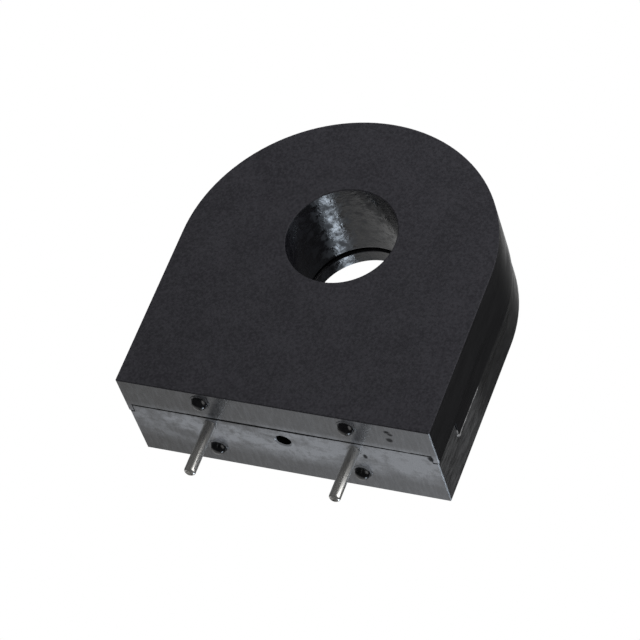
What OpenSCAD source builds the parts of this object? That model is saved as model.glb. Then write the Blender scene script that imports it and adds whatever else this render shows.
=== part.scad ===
// Board-mount current transformer.
// A wound ring core sits round a through bore, inside a two-shell moulded case that stands on a
// circuit board on four moulded feet and is soldered in by two terminal pins.
// Frame: +Z up from the board, +X along the width, +Y along the bore from the front face to the rear.
// Origin: midway between the pins, on the plane of the foot ends.

/* [Case] */
// Width of the case across its flat sides
case_w = 27.4; // [24:0.1:34]
// Height of the case from its base to the top of the arch
case_h = 29.25; // [26:0.05:38]
// Depth of the case along the bore
case_d = 9.7; // [7.8:0.1:14]
// Thickness of the front shell's side wall
wall = 1.0; // [0.8:0.05:1.3]
// Thickness of the front plate
plate = 1.1; // [0.9:0.05:1.5]
// Thickness of the rear plate
rear_plate = 1.4; // [0.9:0.05:1.6]
// Radius of the rear cover's outer edge
rear_round = 0.25; // [0.15:0.05:0.8]
// Chamfer that breaks the case's crisp edges
edge_break = 0.08; // [0.05:0.01:0.25]

/* [Bore] */
// Diameter of the through bore
bore_d = 9.5; // [7:0.1:11.5]
// Height of the bore's centre above the arch's centre
bore_rise = 1.75; // [0:0.05:2.2]
// Wall of the bore tube
tube_wall = 0.9; // [0.8:0.05:1.2]
// Open ring between the end of the tube and the rear plate
bore_gap = 0.3; // [0.2:0.05:0.8]
// Radius of the rim that the rear plate turns towards the tube
rim_round = 0.2; // [0.15:0.05:0.45]
// Radius of the lip at the inner edge of the tube's end
lip_round = 0.2; // [0.1:0.02:0.26]

/* [Parting line] */
// Depth of the seam across the base, from the front face
base_seam = 3.3; // [2.8:0.05:3.4]
// Depth at which the front shell's cheeks end on the base's sides
cheek_seam = 4.2; // [3.6:0.05:4.8]
// Depth of the seam up the sides and over the arch
side_seam = 5.85; // [5.2:0.05:6.4]
// Thickness of the front shell's cheeks beside the terminal block
cheek_wall = 0.5; // [0.3:0.05:0.7]
// Height of the terminal block, where the seam steps back
block_h = 3.9; // [3:0.1:4.8]
// Open seam across the base
seam_gap = 0.15; // [0.04:0.01:0.2]
// How far the rear cover's outside stands in from the front shell's
step_in = 0.1; // [0.05:0.01:0.25]
// Thickness of the locating lip inside the front shell
lip_wall = 0.4; // [0.3:0.05:0.6]
// Reach of the locating lip into the front shell
lip_reach = 1.3; // [0.6:0.1:1.8]
// Clearance round the locating lip
lip_clear = 0.05; // [0.02:0.01:0.1]

/* [Terminals] */
// Distance between the two pins
pin_pitch = 12.7; // [10:0.05:15.5]
// Diameter of a pin
pin_d = 1.0; // [0.7:0.05:1.3]
// Distance of the pins from the front face
pin_in = 4.3; // [4.1:0.05:5]
// Length of a pin below the case's base
pin_out = 4.85; // [3:0.05:7]
// Length of a pin's post above the terminal block
post_h = 2.1; // [1.9:0.1:2.6]
// How much thicker a pin is, in radius, where it is pressed into the block
press_swell = 0.04; // [0.02:0.01:0.08]
// How far the collar that seats on the block stands out from the pin
collar_rim = 0.4; // [0.25:0.05:0.6]
// Thickness of that collar
collar_t = 0.4; // [0.3:0.05:0.6]
// Round at a pin's tip
tip_round = 0.22; // [0.1:0.02:0.3]
// Width of the open relief round a pin at the base
relief_gap = 0.15; // [0.1:0.05:0.5]
// Depth of that relief
relief_t = 0.45; // [0.2:0.05:0.8]

/* [Base] */
// Height of the standoff feet
foot_h = 0.7; // [0.4:0.05:1.2]
// Diameter of a foot
foot_d = 1.36; // [1:0.02:2]
// Distance between the feet along the width
foot_pitch = 12.8; // [10:0.1:18]
// Distance of the front feet from the front face
front_foot_in = 1.15; // [1:0.05:1.8]
// Distance of the rear feet from the rear face
rear_foot_in = 2.25; // [1.2:0.05:2.4]
// Diameter of the vent through the terminal block
vent_d = 1.3; // [0.8:0.05:2]
// Distance of the vent from the front face
vent_in = 4.9; // [4.5:0.05:6.5]

/* [Coil] */
// Diameter of the wound wire over its enamel
wire_d = 0.44; // [0.3:0.02:0.5]
// Turns laid on the core box
turns = 60; // [40:1:62]
// Angle left open at the bottom of the coil for its leads
lead_angle = 24; // [20:1:40]
// Clearance between the bore tube and the coil
coil_fit = 0.2; // [0.12:0.02:0.3]
// Clearance between the coil and the case's walls
coil_clear = 0.3; // [0.2:0.05:0.5]
// Wall of the core box
box_wall = 0.4; // [0.3:0.05:0.5]
// Clearance round the core in its box
core_clear = 0.05; // [0.03:0.01:0.1]
// Thickness of the tape round the coil
tape_t = 0.1; // [0.06:0.01:0.15]
// Thickness of the foam ring on each side of the coil
pad_t = 0.5; // [0.3:0.05:0.7]

/* [Leads] */
// Clearance between a lead and its sleeve
sleeve_clear = 0.08; // [0.06:0.01:0.12]
// Wall of a lead's sleeve
sleeve_wall = 0.18; // [0.12:0.01:0.24]
// Thickness of a solder joint round its post
solder_t = 0.45; // [0.3:0.05:0.6]

/* [Hidden] */
$fn = 64;

// Case
arch_r = case_w / 2;
arch_z = case_h - arch_r;
bore_r = bore_d / 2;
bore_z = arch_z + bore_rise;
tube_r = bore_r + tube_wall;
tube_end = case_d - rear_plate - bore_gap;
// The tube ends in a spigot, and the rear plate's collar laps over it
spigot_wall = tube_wall * 4 / 9;
spigot_clear = 0.08;
spigot_len = 0.5;
cover_inner = wall + lip_clear + lip_wall;
pin_x = pin_pitch / 2;
pin_r = pin_d / 2;
press_r = pin_r + press_swell;
relief_r = pin_r + relief_gap;
solder_r = pin_r + solder_t;
post_top = block_h + post_h;
lead_z = block_h + post_h * 0.6;
foot_x = foot_pitch / 2;
// Round at the edge of a foot's end, as a share of the foot's radius
foot_crown = 0.35;
// Chamfer at the vent's mouth
vent_break = 0.12;

// Coil, fitted to the room between the bore tube, the walls and the leads' sleeves
sleeve_r = wire_d / 2 + sleeve_clear + sleeve_wall;
cavity_r = arch_r - cover_inner;
room_side = cavity_r;
room_top = arch_z + cavity_r - bore_z;
room_below = bore_z - lead_z - sleeve_r;
coil_r = min(room_side, room_top, room_below) - coil_clear;
coil_hole_r = tube_r + coil_fit;
coil_y0 = plate + pad_t;
coil_y1 = case_d - rear_plate - pad_t;
coil_mid = (coil_y0 + coil_y1) / 2;
turn_r = coil_r - tape_t;
box_r = turn_r - wire_d;
box_hole_r = coil_hole_r + wire_d;
box_h = coil_y1 - coil_y0 - 2 * wire_d;
box_round = 0.3;
lid_t = box_wall;
core_r = box_r - box_wall - core_clear;
core_hole_r = box_hole_r + box_wall + core_clear;
core_h = box_h - box_wall - lid_t - 2 * core_clear;

// Cradle walls, which stand between the coil and the side walls and stop above the solder joints
cradle_r = coil_r + coil_clear / 2;
cradle_wall = 0.8;
cradle_span = 22;
cradle_floor = max(post_top, lead_z + solder_r) + coil_clear;
cradle_low = min(62, asin((bore_z - cradle_floor) / (cradle_r + cradle_wall)));

// Leads, from the ends of the winding to the pins' posts
wire_r = wire_d / 2;
wire_path_r = turn_r - wire_r;
lead_start_x = wire_path_r * sin(lead_angle / 2);
lead_start_z = bore_z - wire_path_r * cos(lead_angle / 2);
lead_swing = 1.2;
splice_gap = 0.06;
lead_straight = solder_r + 0.3;
lead_end_x = pin_x - pin_r;
lead_steps = 14;
sleeve_steps = 10;
sleeve_from = 0.42;
sleeve_to = 0.95;
rod_sides = 8;
wire_sides = 6;

plastic = [0.13, 0.13, 0.14];
tinned = [0.72, 0.72, 0.70];

// Moves a piece from the case's own corner frame (front face, base) to the part's frame
module in_case() {
    translate([0, -pin_in, foot_h]) children();
}

// Extrudes an outline seen along the bore between two depths
module slab(y0, y1) {
    translate([0, y1, 0]) rotate([90, 0, 0]) linear_extrude(y1 - y0) children();
}

// Turns a half section (radius, depth) about the bore
module about_bore(angle = 360, from = 0) {
    translate([0, 0, bore_z]) rotate([-90, 0, 0]) rotate([0, 0, from])
        rotate_extrude(angle = angle) children();
}

// The D-shaped outline of the case, moved in by a distance on every side
module outline(inset) {
    r = arch_r - inset;
    translate([0, arch_z]) circle(r);
    translate([-r, inset]) square([2 * r, arch_z - inset]);
}

// Half section through the case's rim, with a broken front edge and a rounded rear edge
module rim_section(r, y0, y1, chamfer, round) {
    polygon([
        [0, y0], [r - chamfer, y0], [r, y0 + chamfer], [r, y1 - round], [r - round, y1], [0, y1]
    ]);
    if (round > 0) translate([r - round, y1 - round]) circle(round);
}

// Solid D-shaped body between two depths, with its rim edges finished
module d_body(inset, y0, y1, chamfer, round) {
    r = arch_r - inset;
    translate([0, 0, arch_z]) rotate([-90, 0, 0]) rotate([0, 0, 180])
        rotate_extrude(angle = 180) rim_section(r, y0, y1, chamfer, round);
    intersection() {
        linear_extrude(arch_z) {
            rim_section(r, y0, y1, chamfer, round);
            mirror([1, 0]) rim_section(r, y0, y1, chamfer, round);
        }
        base_breaks(r, y0, y1, chamfer, round > 0 ? edge_break : 0);
    }
}

// Room that the base's broken edges leave: side edges, then front and rear edges
module base_breaks(r, y0, y1, front_break, rear_break) intersection() {
    slab(y0 - 1, y1 + 1) polygon([
        [-r + edge_break, 0], [r - edge_break, 0], [r, edge_break], [r, arch_z], [-r, arch_z],
        [-r, edge_break]
    ]);
    rotate([90, 0, 90]) translate([0, 0, -r - 1]) linear_extrude(2 * r + 2) polygon([
        [y0 + front_break, 0], [y1 - rear_break, 0], [y1, rear_break], [y1, arch_z],
        [y0, arch_z], [y0, front_break]
    ]);
}

// Domed standoff foot, pointing down from the base
module foot(x, y) {
    r = foot_d / 2;
    crown = min(foot_h, r) * foot_crown;
    translate([x, y, 0]) mirror([0, 0, 1]) rotate_extrude() {
        square([r, foot_h - crown]);
        square([r - crown, foot_h]);
        intersection() {
            translate([r - crown, foot_h - crown]) circle(crown);
            square([r, foot_h]);
        }
    }
}

// Rib that keeps the coil centred on the bore tube
module tube_rib(angle) {
    rib_w = 0.6;
    translate([0, 0, bore_z]) rotate([0, angle, 0])
        translate([tube_r - 0.2, plate - 0.1, -rib_w / 2])
            cube([coil_fit + 0.18, tube_end - spigot_len - plate - 0.6, rib_w]);
}

// Curved wall that cradles the coil in a lower corner of the front shell
module cradle(from) {
    about_bore(cradle_span, from) translate([cradle_r, plate - 0.1])
        square([cradle_wall, side_seam - lip_reach - plate - 0.1]);
}

module front_case() color(plastic) in_case() {
    difference() {
        union() {
            front_shell();
            about_bore() translate([bore_r - 0.4, plate - 0.2])
                square([tube_wall + 0.4, tube_end - spigot_len - plate + 0.2]);
            about_bore() translate([bore_r - 0.4, plate])
                square([spigot_wall + 0.4, tube_end - plate]);
            for (angle = [45, 135, 225, 315]) tube_rib(angle);
            cradle(cradle_low - cradle_span);
            cradle(180 - cradle_low);
        }
        about_bore() bore_section();
    }
    for (x = [-foot_x, foot_x]) foot(x, front_foot_in);
}

// Front plate and side wall, cut away round the terminal block
module front_shell() {
    block_top = block_h + seam_gap / 2;
    difference() {
        d_body(0, 0, side_seam, edge_break, 0);
        slab(plate, side_seam + 1) outline(wall);
        translate([-arch_r + cheek_wall, base_seam, -1])
            cube([case_w - 2 * cheek_wall, case_d, block_top + 1]);
        translate([-arch_r - 1, cheek_seam, -1])
            cube([case_w + 2, case_d, block_top + 1]);
    }
}

// Half section of what the bore removes, with its front mouth broken and a round lip at the tube's end
module bore_section() {
    lip_r = bore_r + lip_round;
    lip_y = tube_end - lip_round;
    difference() {
        polygon([
            [0, -1], [bore_r + edge_break + 1, -1], [bore_r + edge_break, 0], [bore_r, edge_break],
            [bore_r, lip_y], [lip_r, lip_y], [lip_r, tube_end + 1], [0, tube_end + 1]
        ]);
        translate([lip_r, lip_y]) circle(lip_round);
    }
}

module rear_cover() color(plastic) in_case() {
    difference() {
        union() {
            cover_shell();
            terminal_block();
            about_bore() bore_collar();
        }
        for (x = [-pin_x, pin_x]) pin_hole(x);
        translate([0, vent_in, -1]) cylinder(h = block_h + 2, d = vent_d);
        translate([0, vent_in, -0.01])
            cylinder(h = vent_break, d1 = vent_d + vent_break * 2, d2 = vent_d);
        about_bore() cover_bore_section();
    }
    for (x = [-foot_x, foot_x]) foot(x, case_d - rear_foot_in);
}

// Rear plate, its wall and the lip that locates it in the front shell
module cover_shell() {
    lip_inset = wall + lip_clear;
    difference() {
        union() {
            d_body(step_in, side_seam, case_d, 0, rear_round);
            intersection() {
                slab(side_seam - lip_reach, side_seam + 0.2) outline(lip_inset);
                translate([-case_w, 0, block_h - 0.1]) cube([2 * case_w, case_d, case_h]);
            }
        }
        slab(side_seam - lip_reach - 1, case_d - rear_plate) outline(cover_inner);
    }
}

// Block that fills the foot of the case between the cheeks and carries the pins
module terminal_block() {
    front = base_seam + seam_gap;
    back = case_d - rear_plate / 2;
    neck_w = case_w - 2 * cheek_wall - seam_gap;
    body_w = case_w - 2 * step_in;
    translate([-neck_w / 2, front, 0]) cube([neck_w, cheek_seam - front + 1, block_h]);
    slab(cheek_seam + seam_gap, back) polygon([
        [-body_w / 2 + edge_break, 0], [body_w / 2 - edge_break, 0], [body_w / 2, edge_break],
        [body_w / 2, block_h], [-body_w / 2, block_h], [-body_w / 2, edge_break]
    ]);
}

// Pressed hole for a pin, with its relief at the base
module pin_hole(x) {
    translate([x, pin_in, -1]) cylinder(h = block_h + 2, r = press_r);
    translate([x, pin_in, -1]) cylinder(h = relief_t + 1, r = relief_r);
}

// Half section of the collar that laps over the tube's spigot
module bore_collar() {
    collar_in = bore_r + spigot_wall + spigot_clear;
    translate([collar_in, tube_end - spigot_len + spigot_clear])
        square([tube_r - collar_in, bore_gap + spigot_len - spigot_clear + 0.2]);
}

// Half section of the bore through the rear plate, rounded towards the tube
module cover_bore_section() {
    inner_face = case_d - rear_plate;
    rim_y = inner_face + rim_round;
    difference() {
        polygon([
            [0, inner_face - 1], [bore_r, inner_face - 1], [bore_r, inner_face],
            [bore_r + rim_round, inner_face], [bore_r + rim_round, rim_y], [bore_r, rim_y],
            [bore_r, case_d + 1], [0, case_d + 1]
        ]);
        translate([bore_r + rim_round, rim_y]) circle(rim_round);
    }
}

// Terminal pin: rounded tip, plain shank, pressed length and a collar that seats on the block
module pin(x) color(tinned) in_case() translate([x, pin_in, 0]) rotate_extrude() {
    tip_r = pin_r - tip_round;
    collar_r = pin_r + collar_rim;
    shank_top = 0.08;
    polygon([
        [0, -pin_out], [tip_r, -pin_out], [pin_r, -pin_out + tip_round],
        [pin_r, shank_top], [press_r, relief_t], [press_r, block_h], [collar_r, block_h],
        [collar_r, block_h + collar_t], [pin_r, block_h + collar_t],
        [pin_r, post_top - tip_round / 2], [pin_r - tip_round / 2, post_top], [0, post_top]
    ]);
    intersection() {
        translate([tip_r, -pin_out + tip_round]) circle(tip_round);
        translate([0, -pin_out]) square([pin_r, pin_out]);
    }
}

module pin_left() pin(-pin_x);

module pin_right() pin(pin_x);

// Tape-wound magnetic core, one closed ring
module core() color([0.55, 0.55, 0.57]) in_case() {
    y = coil_mid - box_h / 2 + box_wall + core_clear;
    about_bore() translate([core_hole_r, y]) square([core_r - core_hole_r, core_h]);
}

// Channel ring that holds the core, open at the rear
module core_box() color([0.85, 0.83, 0.75]) in_case() {
    y0 = coil_mid - box_h / 2;
    y1 = y0 + box_h;
    about_bore() difference() {
        translate([box_hole_r, y0]) box_section(box_h - lid_t);
        translate([box_hole_r + box_wall, y0 + box_wall])
            square([box_r - box_hole_r - 2 * box_wall, box_h]);
    }
}

// Section of the core box with its two outer corners rounded
module box_section(h) intersection() {
    w = box_r - box_hole_r;
    union() {
        translate([0, box_round]) square([w, h]);
        translate([box_round, 0]) square([w - 2 * box_round, h]);
        for (x = [box_round, w - box_round]) translate([x, box_round]) circle(box_round);
    }
    square([w, h]);
}

// Ring lid that closes the core box at the rear
module core_box_lid() color([0.85, 0.83, 0.75]) in_case() {
    y1 = coil_mid + box_h / 2;
    about_bore() translate([box_hole_r, y1]) mirror([0, 1]) box_section(lid_t);
}

// Outline that the wire follows round the core box's section, from the middle of its outer leg:
// distance from the bore's axis and depth from the coil's middle, two points at each corner
function turn_outline() =
    let (
        corner = 0.58 * (box_round + wire_r),
        inner = box_hole_r - wire_r,
        outer = box_r + wire_r,
        h = box_h / 2 + wire_r
    )
    [
        [outer, h - corner], [outer - corner, h], [inner + corner, h], [inner, h - corner],
        [inner, corner - h], [inner + corner, -h], [outer - corner, -h], [outer, corner - h]
    ];

// Share of a turn's length that lies before each point of the outline, from the outer leg's middle
function turn_shares(outline) =
    let (
        n = len(outline),
        first = outline[0][1],
        legs = [for (i = [1 : n - 1]) norm(outline[i] - outline[i - 1])],
        runs = [for (i = [0 : n - 1]) first + sum_to(legs, i)],
        total = runs[n - 1] + first
    )
    [for (run = runs) run / total];

function sum_to(v, n) = n == 0 ? 0 : v[n - 1] + sum_to(v, n - 1);

// Place of a point of the section after a number of turns, counted from the right-hand lead
function on_coil(p, turn) =
    let (a = lead_angle / 2 + (360 - lead_angle) * turn / turns)
    [p[0] * sin(a), coil_mid + p[1], bore_z - p[0] * cos(a)];

// Secondary winding: one wire laid in turns round the core box, open at the bottom for its leads
module winding() color([0.72, 0.38, 0.16]) in_case() {
    outline = turn_outline();
    shares = turn_shares(outline);
    middle = [box_r + wire_r, 0];
    path = [
        on_coil(middle, 0),
        for (i = [0 : turns - 1], k = [0 : len(outline) - 1]) on_coil(outline[k], i + shares[k]),
        on_coil(middle, turns)
    ];
    axis = [0, coil_mid, bore_z];
    rod(path, wire_r, wire_sides, [for (p = path) cross(p - axis, [0, 1, 0])]);
}

// Insulating tape round the outside of the winding
module winding_tape() color([0.86, 0.70, 0.22]) in_case() {
    margin = box_round + wire_d;
    open_angle = lead_angle + 8;
    about_bore(360 - open_angle, 90 + open_angle / 2)
        translate([turn_r, coil_y0 + margin])
            square([tape_t, coil_y1 - coil_y0 - 2 * margin]);
}

// Foam ring that holds the coil off a plate
module foam_ring(y) color([0.30, 0.30, 0.32]) in_case() {
    margin = 0.6;
    about_bore() translate([coil_hole_r + margin, y])
        square([turn_r - coil_hole_r - 2 * margin, pad_t]);
}

module foam_front() foam_ring(plate);

module foam_rear() foam_ring(coil_y1);

// Route of a lead: a cubic from the end of the winding that turns in line with the pin's post
function lead_corners(side) = [
    [side * lead_start_x, coil_mid - side * splice_gap, lead_start_z],
    [side * lead_start_x, coil_mid - side * lead_swing, lead_start_z],
    [side * (lead_start_x - 0.4), pin_in, lead_z],
    [side * (lead_end_x - lead_straight), pin_in, lead_z]
];
function bezier(p, t) =
    pow(1 - t, 3) * p[0] + 3 * pow(1 - t, 2) * t * p[1] + 3 * (1 - t) * t * t * p[2]
    + pow(t, 3) * p[3];
function lead_path(side, from, to, steps) =
    let (corners = lead_corners(side))
    [for (i = [0 : steps]) bezier(corners, from + (to - from) * i / steps)];

function unit(v) = v / norm(v);
function tangent(path, i) = unit(path[min(i + 1, len(path) - 1)] - path[max(i - 1, 0)]);

// Ring of points round a path's point, square to the path and turned by a reference direction
function ring(path, i, r, sides, toward) =
    let (
        t = tangent(path, i),
        u = unit(toward - (toward * t) * t),
        v = cross(t, u)
    )
    [for (k = [0 : sides - 1]) path[i] + r * (cos(360 * k / sides) * u + sin(360 * k / sides) * v)];

// Triangles between neighbouring rings, facing out, or facing in for the inside of a tube
function skin(rings, sides, first, facing_in) = [
    for (i = [0 : rings - 2], k = [0 : sides - 1])
        let (
            n = (k + 1) % sides,
            a = first + i * sides + k,
            b = first + i * sides + n,
            c = b + sides,
            d = a + sides
        )
        each facing_in ? [[c, b, a], [d, c, a]] : [[a, b, c], [a, c, d]]
];

// Solid rod along a path
module rod(path, r, sides, toward) {
    rings = len(path);
    points = [for (i = [0 : rings - 1]) each ring(path, i, r, sides, toward[i])];
    start_cap = [for (k = [sides - 1 : -1 : 0]) k];
    end_cap = [for (k = [0 : sides - 1]) (rings - 1) * sides + k];
    polyhedron(points, concat(skin(rings, sides, 0, false), [start_cap, end_cap]));
}

// Hollow tube along a path
module hose(path, r_in, r_out, sides, toward) {
    rings = len(path);
    inside = rings * sides;
    last = (rings - 1) * sides;
    points = [
        for (r = [r_out, r_in], i = [0 : rings - 1]) each ring(path, i, r, sides, toward[i])
    ];
    lips = [
        for (k = [0 : sides - 1])
            let (n = (k + 1) % sides)
            each [
                [n, k, inside + k], [n, inside + k, inside + n],
                [last + k, last + n, inside + last + n],
                [last + k, inside + last + n, inside + last + k]
            ]
    ];
    polyhedron(points, concat(
        skin(rings, sides, 0, false), skin(rings, sides, inside, true), lips
    ));
}

// A direction that no part of a lead's route runs along, one for each point
function lead_toward(side, path) = [for (p = path) [-side, side, 1]];

// Lead wire on one side: 1 for the right, -1 for the left
module lead(side) color([0.72, 0.38, 0.16]) in_case() {
    path = concat(lead_path(side, 0, 1, lead_steps), [[side * lead_end_x, pin_in, lead_z]]);
    rod(path, wire_r, rod_sides, lead_toward(side, path));
}

module lead_left() lead(-1);

module lead_right() lead(1);

// Insulating sleeve over a lead
module sleeve(side) color([0.93, 0.93, 0.90]) in_case() {
    path = lead_path(side, sleeve_from, sleeve_to, sleeve_steps);
    hose(path, sleeve_r - sleeve_wall, sleeve_r, rod_sides, lead_toward(side, path));
}

module sleeve_left() sleeve(-1);

module sleeve_right() sleeve(1);

// Solder joint that holds a lead to its pin's post
module solder(side) color(tinned) in_case() difference() {
    translate([side * pin_x, pin_in, lead_z]) sphere(r = solder_r);
    translate([side * pin_x, pin_in, 0]) cylinder(h = case_h, r = pin_r);
    translate([side * pin_x, pin_in, lead_z]) rotate([0, side * -90, 0])
        cylinder(h = 2 * solder_r, r = wire_r);
    translate([side * pin_x, pin_in, 0]) cylinder(h = block_h + collar_t, r = solder_r + 1);
}

module solder_left() solder(-1);

module solder_right() solder(1);

front_case();
rear_cover();
pin_left();
pin_right();
core();
core_box();
core_box_lid();
winding();
winding_tape();
foam_front();
foam_rear();
lead_left();
lead_right();
sleeve_left();
sleeve_right();
solder_left();
solder_right();
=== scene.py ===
"""Looks of a board-mount current transformer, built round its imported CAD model.

An arched case of black plastic in two shells, with a through bore, stands on four moulded feet
and two tinned pins. Inside it, and seen only in section, are a wound ring core, its leads and
their joints. The scene is in metres in the part's own frame: +Z up from the board, +X along the
row of pins, and +Y along the bore from the plain front face to the rear. Sizes of the part are
given in millimetres.
"""

import logging
import math
from dataclasses import dataclass
from enum import Enum

import bmesh
import bpy
from mathutils import Matrix, Vector, noise


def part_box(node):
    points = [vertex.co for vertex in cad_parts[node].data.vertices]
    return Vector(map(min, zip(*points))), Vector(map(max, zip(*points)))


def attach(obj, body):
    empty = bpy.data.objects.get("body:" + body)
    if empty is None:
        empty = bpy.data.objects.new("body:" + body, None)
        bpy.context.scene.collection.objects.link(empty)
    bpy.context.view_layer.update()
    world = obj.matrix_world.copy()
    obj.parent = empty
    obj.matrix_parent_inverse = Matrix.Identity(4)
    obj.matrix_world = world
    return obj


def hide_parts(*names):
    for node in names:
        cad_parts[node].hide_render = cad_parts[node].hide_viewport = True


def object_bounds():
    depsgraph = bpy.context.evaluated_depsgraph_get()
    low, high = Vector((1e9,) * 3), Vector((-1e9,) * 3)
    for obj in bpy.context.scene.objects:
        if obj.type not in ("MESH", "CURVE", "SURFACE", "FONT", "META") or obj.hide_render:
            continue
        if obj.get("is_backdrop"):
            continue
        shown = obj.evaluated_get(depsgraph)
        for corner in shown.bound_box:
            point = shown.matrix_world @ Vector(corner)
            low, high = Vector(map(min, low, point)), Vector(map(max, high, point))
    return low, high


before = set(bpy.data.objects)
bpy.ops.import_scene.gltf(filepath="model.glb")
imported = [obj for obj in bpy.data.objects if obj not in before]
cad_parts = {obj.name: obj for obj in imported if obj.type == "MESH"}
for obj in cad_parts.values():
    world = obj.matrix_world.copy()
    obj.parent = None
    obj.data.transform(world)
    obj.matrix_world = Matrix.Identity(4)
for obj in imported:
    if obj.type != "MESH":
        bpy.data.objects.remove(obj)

LOG = logging.getLogger("current_transformer")
MM = 0.001
ROOT = "root"
NOISE_LOW, NOISE_HIGH = 0.35, 0.65  # Between these lies most of a noise pattern.
SQUARE, DOWNWARD, LEANING = 0.9, 0.6, 0.15  # How much of a normal has to lie along an axis.

Triple = tuple[float, float, float]
Colour = Triple
Ramp = tuple[float, float, float, float]  # As Graph.spread takes it: low, high, start, end.


class Zone(Enum):
    """The parts of a moulded shell that differ in finish."""

    FACE = "face"
    FLANK = "flank"
    BASE = "base"
    BORE = "bore"
    FOOT = "foot"
    # Near-black, glossless lining of the vent, the pins' reliefs and the seam's walls: painted
    # shade.
    WELL = "well"


class Graph:
    """Short calls for building one material's or world's nodes."""

    def __init__(self, tree: bpy.types.NodeTree) -> None:
        """Takes a node tree and empties it.

        Args:
            tree: The tree that the nodes are added to.
        """
        self.tree = tree
        tree.nodes.clear()

    def add(self, kind: str, **inputs: object) -> bpy.types.Node:
        """Adds a node and fills its sockets.

        Args:
            kind: The node's type, without the ShaderNode prefix.
            inputs: Values or sockets, by the socket's name with underscores for spaces.

        Returns:
            The new node.
        """
        node = self.tree.nodes.new("ShaderNode" + kind)
        for name, value in inputs.items():
            self.put(node.inputs[name.replace("_", " ")], value)
        return node

    def put(self, socket: bpy.types.NodeSocket, value: object) -> None:
        """Links a socket to another, or sets its value.

        Args:
            socket: The input to fill.
            value: An output socket, a number or a colour.
        """
        if isinstance(value, bpy.types.NodeSocket):
            self.tree.links.new(value, socket)
        elif isinstance(value, tuple) and socket.type == "RGBA":
            socket.default_value = (*value, 1.0)
        else:
            socket.default_value = value

    def show(self, output: str, shader: bpy.types.Node) -> None:
        """Links a shader to the tree's output.

        Args:
            output: The output node's type, without the ShaderNode prefix.
            shader: The node whose first output is shown.
        """
        self.put(self.add(output).inputs["Surface"], shader.outputs[0])

    def millimetres(self) -> bpy.types.NodeSocket:
        """Gives the place on the object in millimetres."""
        place = self.add("TexCoord").outputs["Object"]
        scaled = self.add("VectorMath")
        scaled.operation = "SCALE"
        self.put(scaled.inputs[0], place)
        scaled.inputs["Scale"].default_value = 1 / MM
        return scaled.outputs[0]

    def stretched(self, place: bpy.types.NodeSocket, by: Triple) -> bpy.types.NodeSocket:
        """Multiplies a place by a factor on each axis, so that a pattern runs along one of them.

        Args:
            place: The place to change.
            by: The factor on each axis.

        Returns:
            The changed place.
        """
        node = self.add("VectorMath")
        node.operation = "MULTIPLY"
        self.put(node.inputs[0], place)
        node.inputs[1].default_value = by
        return node.outputs[0]

    def noise(
        self, place: bpy.types.NodeSocket, size: float, detail: float = 2.0, rough: float = 0.5
    ) -> bpy.types.NodeSocket:
        """Makes a noise pattern.

        Args:
            place: The place in millimetres.
            size: The size of its spots in millimetres.
            detail: How many finer layers it has.
            rough: How strong the finer layers are.

        Returns:
            A value round one half.
        """
        node = self.add("TexNoise", Vector=place, Scale=1 / size, Detail=detail, Roughness=rough)
        return node.outputs["Fac"]

    def spread(
        self, value: bpy.types.NodeSocket, low: float, high: float, start: float, end: float
    ) -> bpy.types.NodeSocket:
        """Maps low..high to start..end, and holds it there outside.

        Args:
            value: The value to map.
            low: The value that gives start.
            high: The value that gives end.
            start: The first result.
            end: The last result.

        Returns:
            The mapped value.
        """
        node = self.add(
            "MapRange", Value=value, From_Min=low, From_Max=high, To_Min=start, To_Max=end
        )
        return node.outputs["Result"]

    def calc(
        self, kind: str, a: bpy.types.NodeSocket | float, b: bpy.types.NodeSocket | float
    ) -> bpy.types.NodeSocket:
        """Does one step of arithmetic.

        Args:
            kind: The operation, such as ADD or MULTIPLY.
            a: The first value.
            b: The second value.

        Returns:
            The result.
        """
        node = self.add("Math")
        node.operation = kind
        self.put(node.inputs[0], a)
        self.put(node.inputs[1], b)
        return node.outputs[0]

    def blend(self, share: bpy.types.NodeSocket, a: Colour, b: Colour) -> bpy.types.NodeSocket:
        """Mixes two colours.

        Args:
            share: How much of the second there is.
            a: The first colour.
            b: The second colour.

        Returns:
            The mixed colour.
        """
        node = self.add("Mix")
        node.data_type = "RGBA"
        self.put(node.inputs[0], share)
        self.put(node.inputs[6], a)
        self.put(node.inputs[7], b)
        return node.outputs[2]

    def relief(self, height: bpy.types.NodeSocket, depth: float) -> bpy.types.NodeSocket:
        """Turns a height into a bumped normal.

        Args:
            height: The pattern, from 0 to 1.
            depth: How deep it is in millimetres.

        Returns:
            The normal.
        """
        return self.add("Bump", Height=height, Distance=depth * MM).outputs["Normal"]

    def glow(
        self, direction: bpy.types.NodeSocket, aim: Triple, start: float, full: float
    ) -> bpy.types.NodeSocket:
        """Says how much of a round pale patch lies in a direction.

        Args:
            direction: The direction looked in.
            aim: The direction of the patch's middle.
            start: The cosine of the angle from the middle at which the patch begins.
            full: The cosine at which it is at its palest.

        Returns:
            A value from 0 to 1.
        """
        node = self.add("VectorMath")
        node.operation = "DOT_PRODUCT"
        self.put(node.inputs[0], direction)
        node.inputs[1].default_value = Vector(aim).normalized()
        return self.spread(node.outputs["Value"], start, full, 0, 1)


def new_material(name: str) -> tuple[bpy.types.Material, Graph]:
    """Makes an empty material.

    Args:
        name: Its name.

    Returns:
        The material and the graph of its nodes.
    """
    made = bpy.data.materials.new(name)
    made.use_nodes = True
    return made, Graph(made.node_tree)


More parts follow.
